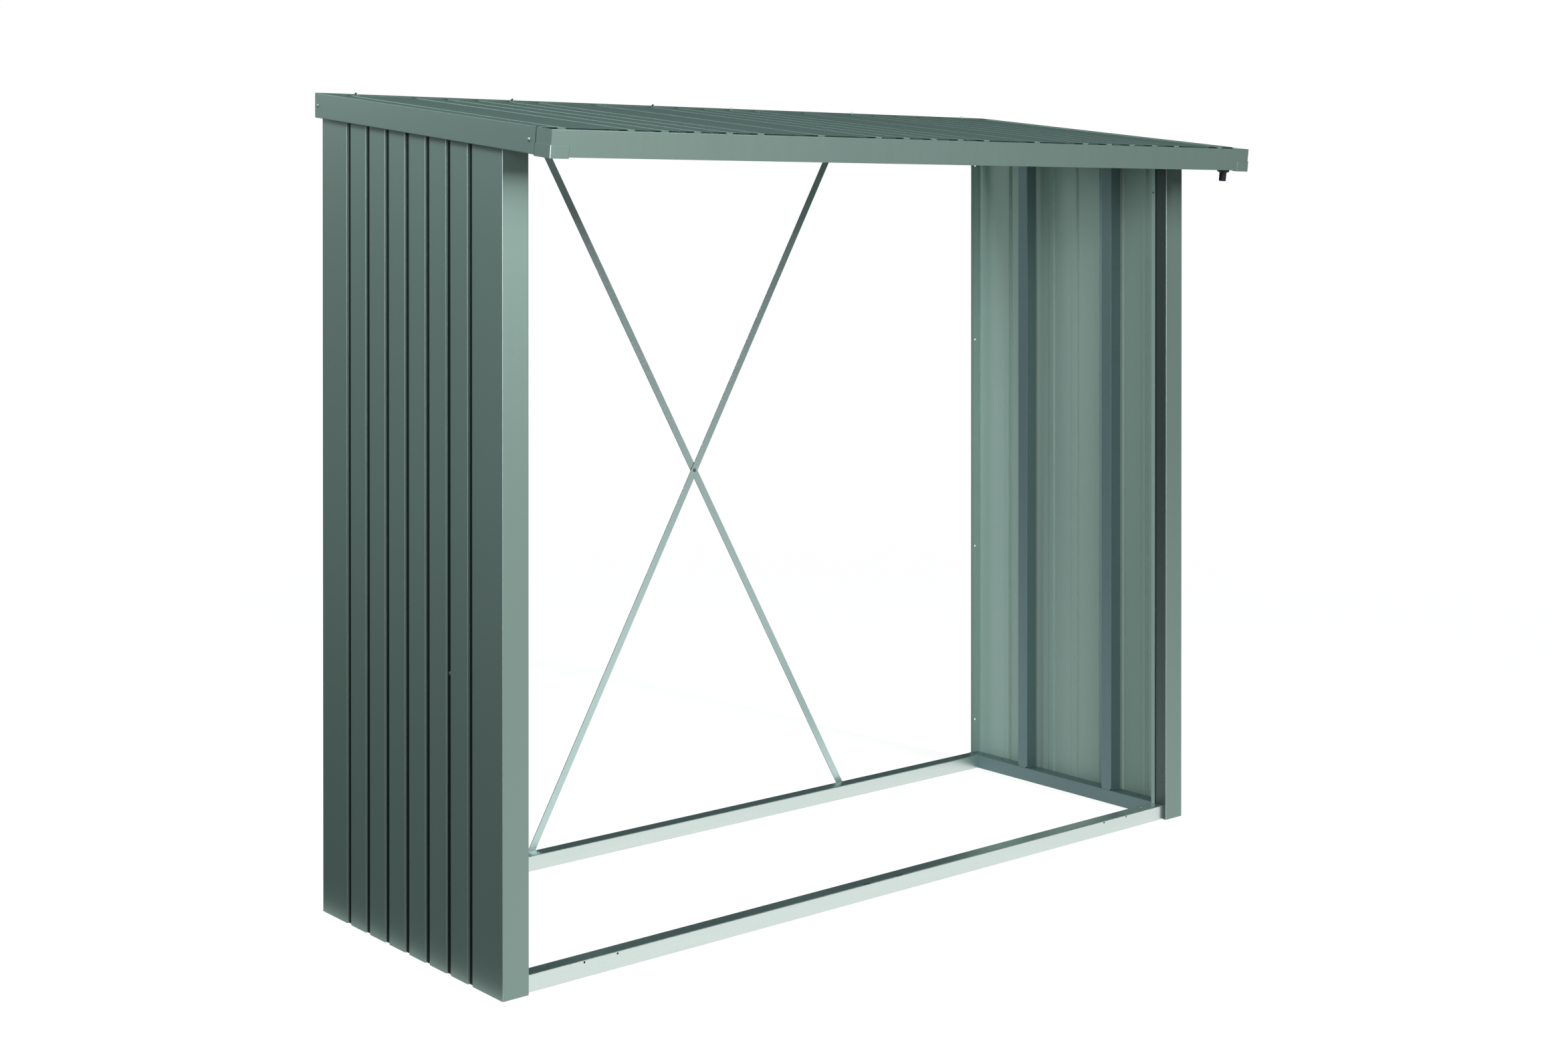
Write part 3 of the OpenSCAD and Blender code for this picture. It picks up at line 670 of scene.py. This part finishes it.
def swept_disc(name, below, flat_radius, rim_radius, rim_height):
    """A round floor that sweeps up into a low backdrop all round."""
    steps, rise = 96, 12
    rings = [(flat_radius * share, below) for share in (0.05, 0.2, 1.0)]
    for step in range(1, rise + 1):
        turn = math.pi / 2 * step / rise
        rings.append((flat_radius + (rim_radius - flat_radius) * math.sin(turn),
                      below + rim_height * (1 - math.cos(turn))))
    turns = [2 * math.pi * k / steps for k in range(steps)]
    points = [(0.0, 0.0, below)]
    faces = []
    for reach, level in rings:
        points += [(reach * math.cos(turn), reach * math.sin(turn), level) for turn in turns]
    for k in range(steps):
        after = (k + 1) % steps
        faces.append((0, 1 + k, 1 + after))
        for ring in range(len(rings) - 1):
            inner, outer = 1 + ring * steps, 1 + (ring + 1) * steps
            faces.append((inner + k, outer + k, outer + after, inner + after))
    mesh = bpy.data.meshes.new(name)
    mesh.from_pydata(points, [], faces)
    sweep = bpy.data.objects.new(name, mesh)
    bpy.context.scene.collection.objects.link(sweep)
    return sweep


def sweep_white(clear, far, shade, lit_white, bounce, half_at, lee_line, lee_reach, lee_gleam):
    """White of the floor and backdrop.

    Near the store the floor is part glow, part lit surface, which together come to white where nothing
    shades it, so the store's soft shadow stays on it. From clear to far it turns to plain white.
    In reflections it is white beside the store and falls off with distance, but to the left of the left
    wall it is nearly dark close by and rises with distance, from the first to the second of lee_gleam.
    """
    material = bpy.data.materials.new("sweep_white")
    material.use_nodes = True
    tree = material.node_tree
    tree.nodes.clear()
    spot = place(tree, "ShaderNodeTexCoord").outputs["Object"]
    distance = place(tree, "ShaderNodeVectorMath", {0: spot}, operation="LENGTH").outputs["Value"]

    near = ramp(tree, distance, clear, far, 1.0, 0.0)
    glow = place(tree, "ShaderNodeEmission", {"Strength": maths(tree, "MULTIPLY_ADD", near, -shade, 1.0)})
    lit_colour = grey(tree, maths(tree, "MULTIPLY", near, lit_white))
    lit = place(tree, "ShaderNodeBsdfDiffuse", {"Color": lit_colour})
    seen = place(tree, "ShaderNodeAddShader", {0: glow.outputs[0], 1: lit.outputs[0]}).outputs[0]

    dull = place(tree, "ShaderNodeBsdfDiffuse", {"Color": (bounce, bounce, bounce, 1)}).outputs[0]

    far_off = maths(tree, "POWER", maths(tree, "DIVIDE", distance, half_at), 2.0)
    fall_off = maths(tree, "DIVIDE", 1.0, maths(tree, "ADD", far_off, 1.0))
    beside_left_wall = ramp(tree, axes(tree, spot)["X"], *lee_line)
    lee = ramp(tree, distance, *lee_reach, *lee_gleam)
    gleam = maths(tree, "MULTIPLY_ADD", beside_left_wall, maths(tree, "SUBTRACT", lee, fall_off), fall_off)
    mirrored = place(tree, "ShaderNodeEmission", {"Strength": gleam}).outputs[0]

    out = place(tree, "ShaderNodeOutputMaterial")
    join(tree, by_light_path(tree, seen, mirrored, dull), out.inputs["Surface"])
    return material


def softbox(name, position, target, size, power, tint=(1, 1, 1)):
    """A rectangular lamp, size wide and high in metres, that the camera doesn't see."""
    lamp = bpy.data.lights.new(name, "AREA")
    lamp.shape = "RECTANGLE"
    lamp.size, lamp.size_y = size
    lamp.energy = power
    lamp.color = tint
    box = bpy.data.objects.new(name, lamp)
    box.location = position
    box.rotation_euler = (Vector(target) - Vector(position)).to_track_quat("-Z", "Y").to_euler()
    box.visible_camera = False
    bpy.context.scene.collection.objects.link(box)


dim_room((0.030, 0.062, 0.062, 1))

sweep = swept_disc("studio_sweep", below=-0.0005, flat_radius=110.0, rim_radius=120.0, rim_height=18.0)
sweep.data.materials.append(sweep_white(
    clear=2.5, far=6.0, shade=0.10, lit_white=0.2, bounce=0.25, half_at=7.0,
    lee_line=(-1.12, -1.18), lee_reach=(3.5, 8.0), lee_gleam=(0.02, 0.17)))

COOL_TINT, COOLER_TINT = (0.88, 1.0, 1.0), (0.85, 1.0, 1.0)
softbox("front_softbox", (1.6, -9.0, 6.3), (0.0, 0.0, 6.3), size=(1.0, 7.0), power=1150)
softbox("front_left_softbox", (-4.3, -8.3, 5.2), (0.0, 0.0, 1.2), size=(2.4, 5.0), power=120)
softbox("left_softbox", (-5.0, 0.55, 4.6), (-1.13, 0.1, 1.0), size=(1.5, 1.5), power=188, tint=COOL_TINT)
softbox("edge_softbox", (-5.4, -4.5, 2.6), (0.0, 0.0, 1.2), size=(2.2, 2.0), power=130)
softbox("rear_left_softbox", (-2.2, 4.8, 3.2), (1.1, 0.1, 0.9), size=(1.5, 1.5), power=40)
softbox("high_rear_softbox", (-3.2, 7.5, 8.0), (0.0, 0.0, 1.0), size=(3.0, 3.0), power=40, tint=COOLER_TINT)
softbox("overhead_softbox", (0.0, 0.1, 8.0), (0.0, 0.1, 0.0), size=(3.0, 2.0), power=10)

bpy.context.scene.view_settings.view_transform = "Standard"

camera_data = bpy.data.cameras.new("front_left_camera")
camera_data.sensor_fit = "HORIZONTAL"
camera_data.sensor_width = 36.0
camera_data.lens = 50.101
camera_data.shift_y = -0.19373
camera = bpy.data.objects.new("front_left_camera", camera_data)
camera.location = (-3.6794, -4.2657, 1.7004)
camera.rotation_euler = Euler((math.radians(90 - 0.229), 0.0, math.radians(-40.08)))
bpy.context.scene.collection.objects.link(camera)
bpy.context.scene.camera = camera
